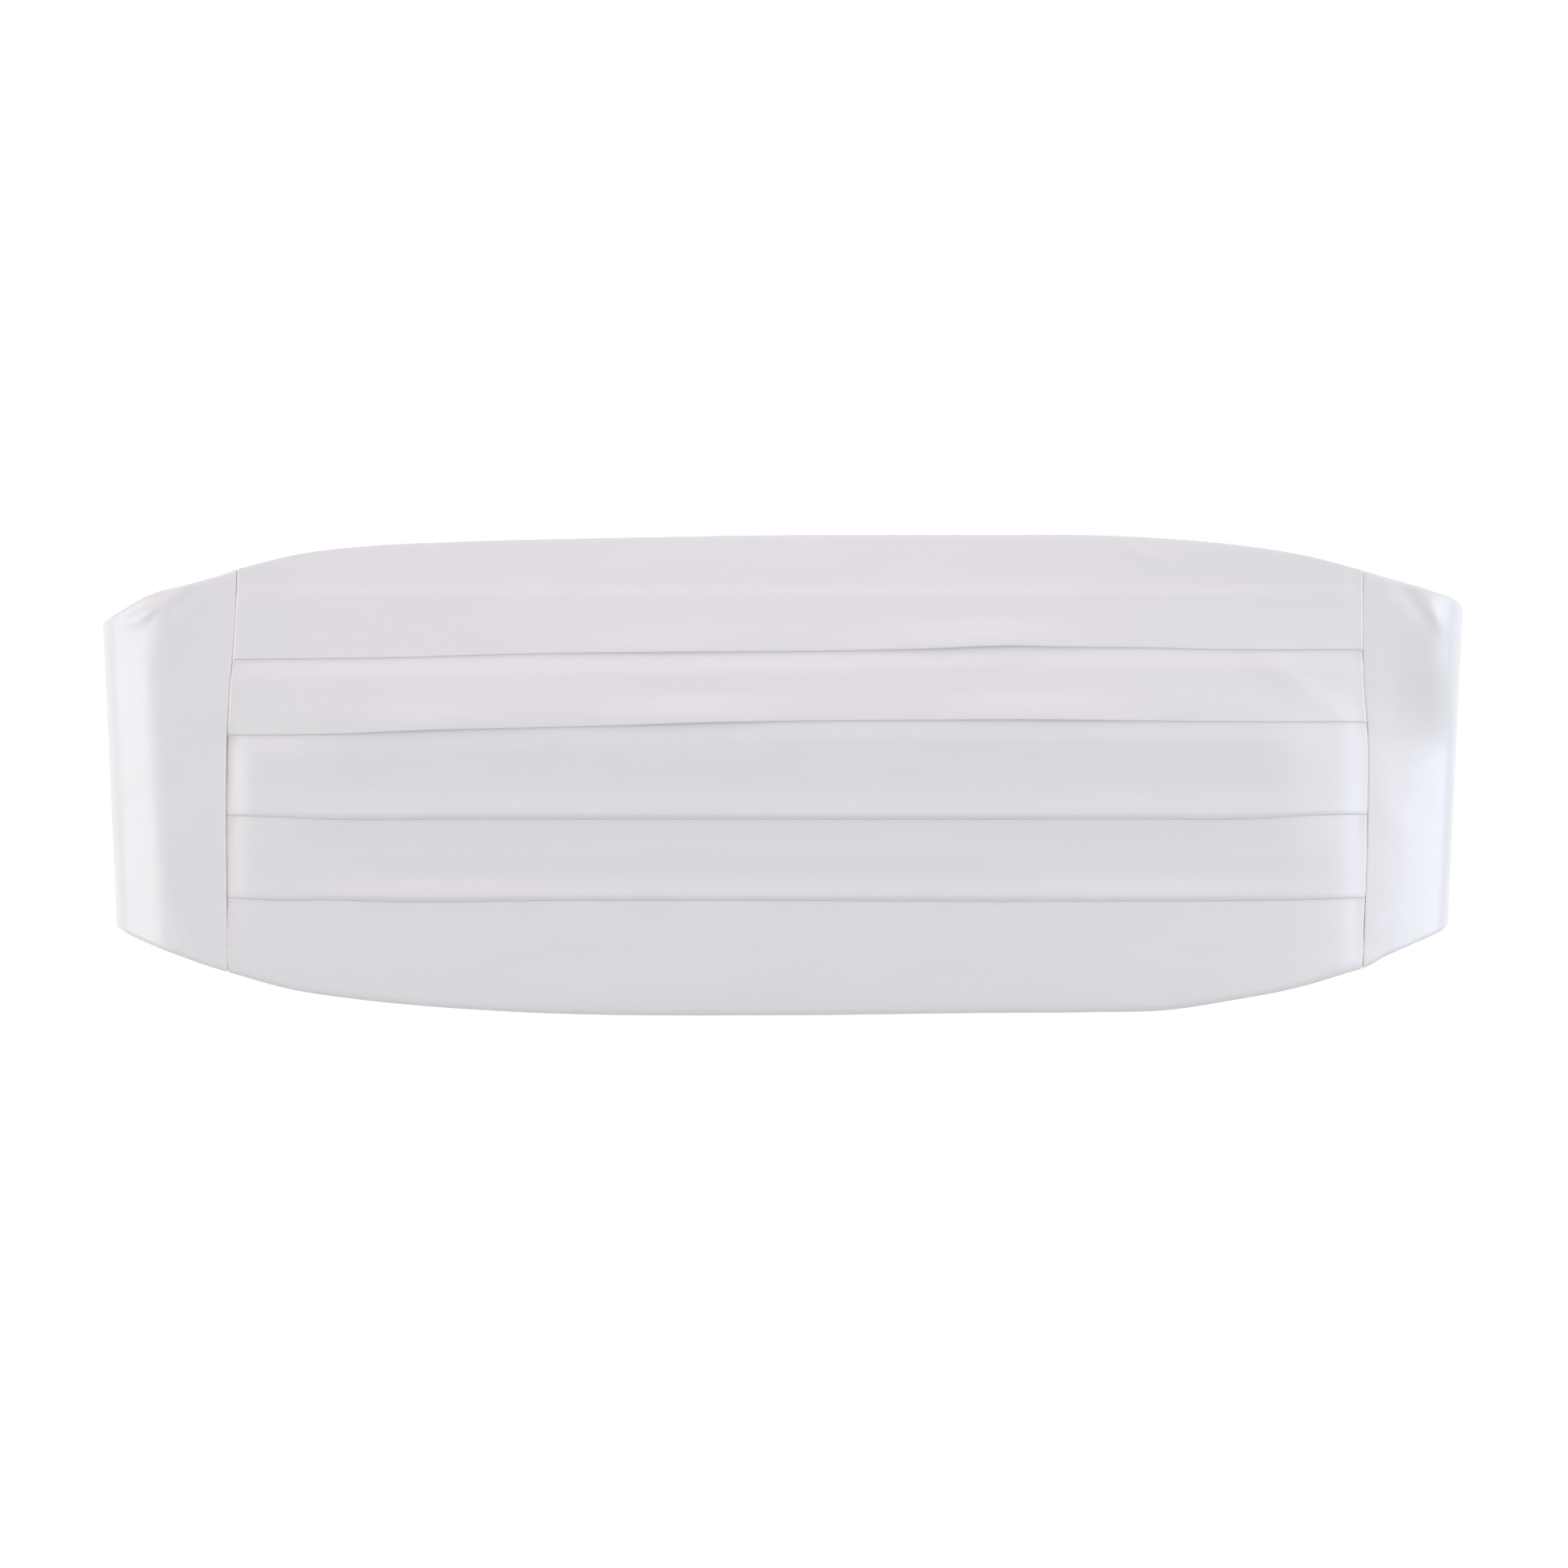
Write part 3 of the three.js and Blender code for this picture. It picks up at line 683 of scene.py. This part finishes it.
# %% [markdown]
# ## The clasp
#
# The clasp is hidden in front, so it is one plain moulded plate with a slot for each strap. A block
# gets round corners, two smaller blocks cut the slots, and a bevel softens every rim.


# %% Mould the clasp
def rounded_block(name, centre, size, corner):
    """A block in millimetres whose four upright corners are round."""
    deselect_all()
    bpy.ops.mesh.primitive_cube_add(size=1, location=(Vector(centre) + Vector(MIDDLE)) * MM)
    block = bpy.context.object
    block.name = block.data.name = name
    block.scale = Vector(size) * MM
    bpy.ops.object.transform_apply(location=True, rotation=True, scale=True)
    bpy.ops.object.mode_set(mode="EDIT")
    bpy.ops.mesh.select_all(action="DESELECT")
    bpy.ops.mesh.select_mode(type="EDGE")
    bpy.ops.object.mode_set(mode="OBJECT")
    for edge in block.data.edges:
        start, end = (block.data.vertices[i].co for i in edge.vertices)
        edge.select = abs(start.z - end.z) > size[2] * MM / 2
    bpy.ops.object.mode_set(mode="EDIT")
    bpy.ops.mesh.bevel(offset=corner * MM, segments=8, affect="EDGES")
    bpy.ops.object.mode_set(mode="OBJECT")
    return block


slot_width = STRAP_WIDTH + 1.6
clasp_z = CLASP_FLOOR + CLASP_WALL / 2
clasp = rounded_block("moulded_clasp", (0, 0, clasp_z), (CLASP_LENGTH, slot_width + 6, CLASP_WALL), 3)
for sign in SIDES.values():
    centre = (sign * (CLASP_MIDDLE + CLASP_SLOT) / 2, 0, clasp_z)
    cutter = rounded_block("slot_cutter", centre, (CLASP_SLOT, slot_width, 2 * CLASP_WALL), 0.8)
    apply_modifier(clasp, "BOOLEAN", operation="DIFFERENCE", object=cutter, solver="EXACT")
    bpy.data.objects.remove(cutter)
apply_modifier(
    clasp, "BEVEL", width=0.55 * MM, segments=4, limit_method="ANGLE", angle_limit=math.radians(50)
)
shade_by_angle(clasp, 40)
print("clasp:", len(clasp.data.polygons), "faces")

# %% [markdown]
# ## Thread
#
# A stitch is a short length of thread that dips into the cloth at both ends. One is modelled, and
# each row gets copies of it, turned along the row and joined into one piece.

# %% One stitch, and rows of it
PITCH = 2.8  # from one stitch to the next
deselect_all()
bpy.ops.mesh.primitive_uv_sphere_add(segments=8, ring_count=6, radius=0.5)
stitch = bpy.context.object
stitch.scale = (2.2 * MM, 0.42 * MM, 0.36 * MM)
bpy.ops.object.transform_apply(location=True, rotation=True, scale=True)
bpy.ops.object.shade_smooth()


def stitch_line(start, end):
    """Places and headings of the stitches along a line between two points in millimetres."""
    start, end = Vector(start), Vector(end)
    count = max(2, round((end - start).length / PITCH))
    return [(start.lerp(end, (i + 0.5) / count), end - start) for i in range(count)]


def sew_stitches(name, places):
    """Copies of the stitch at places and headings, as one piece."""
    copies = []
    for at, heading in places:
        side_way = Vector((0, 0, 1)).cross(heading).normalized()
        ahead = heading.normalized()
        turn = Matrix((ahead, side_way, ahead.cross(side_way))).transposed().to_4x4()
        copy = stitch.copy()
        copy.data = stitch.data.copy()
        copy.data.transform(Matrix.Translation((at + Vector(MIDDLE)) * MM) @ turn)
        bpy.context.collection.objects.link(copy)
        copies.append(copy)
    deselect_all()
    for copy in copies:
        copy.select_set(True)
    bpy.context.view_layer.objects.active = copies[0]
    bpy.ops.object.join()
    piece = bpy.context.object
    piece.name = piece.data.name = name
    print(name, len(places), "stitches")
    return piece


# %% Stitch the straps
def crossed_box(x0, x1, half_width, z):
    """Stitches round a box and along its two diagonals."""
    corners = [(x0, -half_width, z), (x1, -half_width, z), (x1, half_width, z), (x0, half_width, z)]
    sides = [stitch_line(a, b) for a, b in zip(corners, corners[1:] + corners[:1])]
    return sum(sides + [stitch_line(corners[0], corners[2]), stitch_line(corners[1], corners[3])], [])


SINK = 0.03  # how far a stitch's middle lies below the top of the elastic
UNDER_TIP = 0.2  # its height in the underside of the tip
BOX_START, BOX_END = 2.5, 13.5  # the crossed box, from the tip
threads = []
for side, sign in SIDES.items():
    places = []
    for z in (ON_TIP + STRAP_WALL / 2 - SINK, UNDER_TIP):
        places += crossed_box(sign * (TIP_X[side] + BOX_START), sign * (TIP_X[side] + BOX_END), 10, z)
    top = ON_ITSELF + STRAP_WALL / 2 - SINK
    for before_end in (2.5, 6):
        x = sign * (CLASP_LENGTH / 2 - CLASP_BAR + FOLD_BACK - before_end)
        places += stitch_line((x, -11, top), (x, 11, top))
    threads.append(sew_stitches(f"strap_stitches_{side}", places))

# %% Glimpses of the seam stitches
# rows of height and distance beside the seam
SEAM_STITCHES = {
    "left": [
        (-35, 0.5), (-37.6, 0.45), (-40, 0.6), (-42.8, 0.5), (-45.4, 0.55), (-48, 0.5), (-15.5, 0.45),
    ],
    "right": [(54.4, -0.5), (52.4, -0.55), (51.2, 0.5), (53.4, 0.6)],
}
for side, rows in SEAM_STITCHES.items():
    places = []
    for y, beside in rows:
        x = float(seam_x(side, y)) + beside
        into = -SIDES[side] * beside
        drop = seam_dip(side, into, y) if into > 0 else SEAM_SHARE * SEAM_SLOPE[side](y)
        z = (FACE_HEIGHT - CLOTH / 2 - float(drop)) * (1 - float(slump(x, y)))
        places.append((Vector((x, y, z)), Vector((0.35, 1, 0))))
    threads.append(sew_stitches(f"seam_stitches_{side}", places))
bpy.data.objects.remove(stitch)

# %% [markdown]
# ## Satin, elastic, plastic and thread
#
# Satin is smooth because its threads float over several others before they dip. It has a soft gloss,
# a faint sheen and a weave too fine to see from afar. The weave and the low unevenness read the UV
# map, which holds the flat cut in metres, so they keep their scale on every fold.


# %% Material helpers
def new_material(name, **sockets):
    """A material whose shader has these values set on its own sockets."""
    material = bpy.data.materials.new(name)
    material.use_nodes = True
    shader = material.node_tree.nodes["Principled BSDF"]
    for socket, value in sockets.items():
        shader.inputs[socket.replace("_", " ")].default_value = value
    return material


def add_node(material, kind, **inputs):
    """A node whose inputs are set to values or linked to other nodes' outputs."""
    node = material.node_tree.nodes.new(kind)
    for name, value in inputs.items():
        socket = node.inputs[name.replace("_", " ")]
        if isinstance(value, bpy.types.NodeSocket):
            material.node_tree.links.new(value, socket)
        else:
            socket.default_value = value
    return node


def stretched(material, source, x, y, z=1):
    """Coordinates multiplied along each axis."""
    return add_node(material, "ShaderNodeMapping", Vector=source, Scale=(x, y, z)).outputs["Vector"]


def to_shader(material, name, output):
    """Link an output to one of the shader's sockets."""
    material.node_tree.links.new(output, material.node_tree.nodes["Principled BSDF"].inputs[name])


def blend_colours(material, share, first, second):
    """A blend of two colours, each given as numbers or as another node's output."""
    mix = material.node_tree.nodes.new("ShaderNodeMix")
    mix.data_type = "RGBA"
    colours = [socket for socket in mix.inputs if socket.type == "RGBA"]
    for socket, colour in zip(colours, (first, second)):
        if isinstance(colour, bpy.types.NodeSocket):
            material.node_tree.links.new(colour, socket)
        else:
            socket.default_value = (*colour, 1)
    material.node_tree.links.new(share, mix.inputs["Factor"])
    return next(socket for socket in mix.outputs if socket.type == "RGBA")


def between(material, share, low, high):
    """A number that goes from low to high with a share of 0 to 1."""
    node = add_node(material, "ShaderNodeMapRange", Value=share, To_Min=low, To_Max=high)
    return node.outputs["Result"]


def add_bumps(material, *rows):
    """Bumps on bumps, each from a height's output, a strength and a distance in metres."""
    below = {}
    for height, strength, distance in rows:
        node = add_node(
            material, "ShaderNodeBump", Height=height, Strength=strength, Distance=distance, **below
        )
        below = {"Normal": node.outputs["Normal"]}
    to_shader(material, "Normal", below["Normal"])


# %% Satin
satin = new_material("white_satin", Specular_IOR_Level=1.0, Sheen_Weight=0.2, Sheen_Roughness=0.4)
uv = add_node(satin, "ShaderNodeTexCoord").outputs["UV"]
cloudy = add_node(satin, "ShaderNodeTexNoise", Vector=stretched(satin, uv, 45, 130), Scale=1, Detail=3)
slubs = add_node(satin, "ShaderNodeTexNoise", Vector=stretched(satin, uv, 260, 2600), Scale=1, Detail=2)
floats = add_node(
    satin, "ShaderNodeTexWave", Vector=stretched(satin, uv, 480, 900), Scale=1, Distortion=1.5, Detail=1
)
floats.bands_direction = "DIAGONAL"
# Painted warm shade along the seams: where turned is set, the satin's colour goes to a cream that stands
# in for the seam line's shade.
painted_seam_shade_node = add_node(satin, "ShaderNodeAttribute")
painted_seam_shade_node.attribute_name = "turned"
plain = blend_colours(satin, cloudy.outputs["Fac"], (0.693, 0.669, 0.650), (0.718, 0.694, 0.675))
seam_shaded_colour = blend_colours(satin, painted_seam_shade_node.outputs["Fac"], plain, (0.72, 0.67, 0.61))
to_shader(satin, "Base Color", seam_shaded_colour)
to_shader(satin, "Roughness", between(satin, slubs.outputs["Fac"], 0.36, 0.44))
add_bumps(
    satin,
    (cloudy.outputs["Fac"], 0.35, 0.0003),
    (slubs.outputs["Fac"], 0.2, 0.00005),
    (floats.outputs["Fac"], 0.2, 0.00003),
)
print("satin nodes:", len(satin.node_tree.nodes))

# %% Elastic
elastic = new_material("woven_elastic", Roughness=0.8, Sheen_Weight=0.3, IOR=1.45)
uv = add_node(elastic, "ShaderNodeTexCoord").outputs["UV"]
ribs = add_node(elastic, "ShaderNodeTexWave", Vector=stretched(elastic, uv, 1, 1), Scale=250)
ribs.bands_direction = "Y"
picks = add_node(elastic, "ShaderNodeTexWave", Vector=stretched(elastic, uv, 1, 1), Scale=420)
picks.bands_direction = "X"
crossing = add_node(elastic, "ShaderNodeMath")
crossing.operation = "MULTIPLY"
elastic.node_tree.links.new(ribs.outputs["Fac"], crossing.inputs[0])
elastic.node_tree.links.new(picks.outputs["Fac"], crossing.inputs[1])
fuzz = add_node(elastic, "ShaderNodeTexNoise", Vector=uv, Scale=900, Detail=2)
ribbed = blend_colours(elastic, crossing.outputs["Value"], (0.62, 0.61, 0.59), (0.76, 0.755, 0.74))
to_shader(elastic, "Base Color", ribbed)
add_bumps(elastic, (crossing.outputs["Value"], 0.8, 0.00015), (fuzz.outputs["Fac"], 0.3, 0.00005))
print("elastic nodes:", len(elastic.node_tree.nodes))

# %% Moulded plastic and thread
plastic = new_material("moulded_plastic", IOR=1.49)
place = add_node(plastic, "ShaderNodeTexCoord").outputs["Object"]
flow = add_node(plastic, "ShaderNodeTexNoise", Vector=place, Scale=90, Detail=2)
grain = add_node(plastic, "ShaderNodeTexNoise", Vector=place, Scale=2500, Detail=2)
streaky = blend_colours(plastic, flow.outputs["Fac"], (0.74, 0.73, 0.70), (0.79, 0.785, 0.765))
to_shader(plastic, "Base Color", streaky)
to_shader(plastic, "Roughness", between(plastic, grain.outputs["Fac"], 0.3, 0.45))
add_bumps(plastic, (grain.outputs["Fac"], 0.15, 0.00004))

thread = new_material("white_thread", Roughness=0.55, Sheen_Weight=0.2)
place = add_node(thread, "ShaderNodeTexCoord").outputs["Object"]
twist = add_node(thread, "ShaderNodeTexWave", Vector=place, Scale=900, Distortion=0.5)
twist.bands_direction = "DIAGONAL"
twisted = blend_colours(thread, twist.outputs["Fac"], (0.68, 0.67, 0.66), (0.8, 0.79, 0.79))
to_shader(thread, "Base Color", twisted)
add_bumps(thread, (twist.outputs["Fac"], 0.4, 0.00006))
print("materials:", [m.name for m in (satin, elastic, plastic, thread)])

# %% [markdown]
# ## Dress the frame
#
# Each piece takes its material, rides on the one body, and stands for its solid.


# %% Materials and bodies
def dress(piece, material):
    """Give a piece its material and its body."""
    piece.data.materials.clear()
    piece.data.materials.append(material)
    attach(piece, "root")


dress(pleated, satin)
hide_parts("pleated_front")
for side in SIDES:
    dress(panels[side], satin)
    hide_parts(f"end_panel_{side}")
    dress(straps[side], elastic)
    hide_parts(f"strap_{side}")
dress(clasp, plastic)
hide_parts("clasp")
for piece in threads:
    dress(piece, thread)

print("dressed:", 6 + len(threads), "pieces")

# %% [markdown]
# ## Floor, light and camera
#
# The photograph is a plain white studio picture with no shadow, so the floor is a white table that
# glows itself. The lights are large soft boxes: two beyond the top edge, a weak one beyond the foot,
# and three beyond each end, one over the other, where the lower ones are cooler and those to the
# right the coolest. The low boxes would glare in views from the side, so they show in no reflection.

# %% Floor
FLOOR_DROP = 0.1 * MM  # just below the lowest cloth, so that the two faces don't coincide
deselect_all()
bpy.ops.mesh.primitive_plane_add(size=16, location=(0, 0, -FLOOR_DROP))
floor = bpy.context.object
floor.name = floor.data.name = "white_table"
white = new_material("table_white", Base_Color=(0.3, 0.3, 0.3, 1), Roughness=0.9, Emission_Strength=0.86)
white.node_tree.nodes["Principled BSDF"].inputs["Emission Color"].default_value = (1, 1, 1, 1)
floor.data.materials.append(white)
print("floor:", floor.name)

# %% Lights
LOW = 0.8  # a light no higher than this shows in no reflection


def softbox(name, place, size, power, colour):
    """A large soft light that looks at the object and isn't seen itself."""
    deselect_all()
    bpy.ops.object.light_add(type="AREA", location=place)
    light = bpy.context.object
    light.name = name
    light.rotation_euler = Vector(place).to_track_quat("Z", "Y").to_euler()
    light.data.shape = "RECTANGLE"
    light.data.size, light.data.size_y = size
    light.data.energy = power
    light.data.color = colour
    light.visible_camera = False
    light.visible_glossy = place[2] > LOW
    print(name, power, "W")


WIDE, TALL = (1.2, 0.6), (0.5, 1.0)
softbox("top_light", (0, 0.9, 1.35), WIDE, 4.7, (1.0, 0.78, 1.0))
softbox("low_top_light", (0, 1.4, 0.6), WIDE, 6.6, (1.0, 0.83, 1.05))
softbox("foot_light", (0, -1.4, 0.6), WIDE, 1.2, (1.0, 1.0, 1.0))
# beyond each end: how far out, how high, and the power and colour to the left and to the right
SIDE_LIGHTS = [
    (0.85, 1.4, 1.0, (1.0, 1.0, 1.0), 2.7, (0.93, 1.0, 1.08)),
    (1.3, 1.0, 6.4, (0.95, 1.0, 1.05), 8.4, (0.88, 1.0, 1.14)),
    (1.5, 0.5, 7.6, (0.9, 1.0, 1.12), 5.0, (0.83, 1.0, 1.24)),
]
for out, up, left, left_colour, right, right_colour in SIDE_LIGHTS:
    softbox(f"left_light_{up}", (-out, 0, up), TALL, left, left_colour)
    softbox(f"right_light_{up}", (out, 0, up), TALL, right, right_colour)
world = bpy.context.scene.world or bpy.data.worlds.new("studio")
bpy.context.scene.world = world
world.use_nodes = True
background = world.node_tree.nodes["Background"]
background.inputs["Color"].default_value = (1, 1, 0.88, 1)
background.inputs["Strength"].default_value = 0.25
bpy.context.scene.view_settings.view_transform = "Standard"

# %% Camera straight above
CAMERA_X, CAMERA_Y = 0.00033, -0.00241  # the photograph's middle in the frame
CAMERA_HEIGHT = 5.0  # above the front's face
FRAME_WIDTH = 0.4229  # what the photograph takes in at the height of the front's face
SENSOR_WIDTH = 36
deselect_all()
bpy.ops.object.camera_add(
    location=(CAMERA_X, CAMERA_Y, CAMERA_HEIGHT + FACE_HEIGHT * MM), rotation=(0, 0, 0)
)
camera = bpy.context.object
camera.data.sensor_width = SENSOR_WIDTH
camera.data.lens = SENSOR_WIDTH * CAMERA_HEIGHT / FRAME_WIDTH
camera.data.clip_end = 60
bpy.context.scene.camera = camera
print("lens:", round(camera.data.lens), "mm")
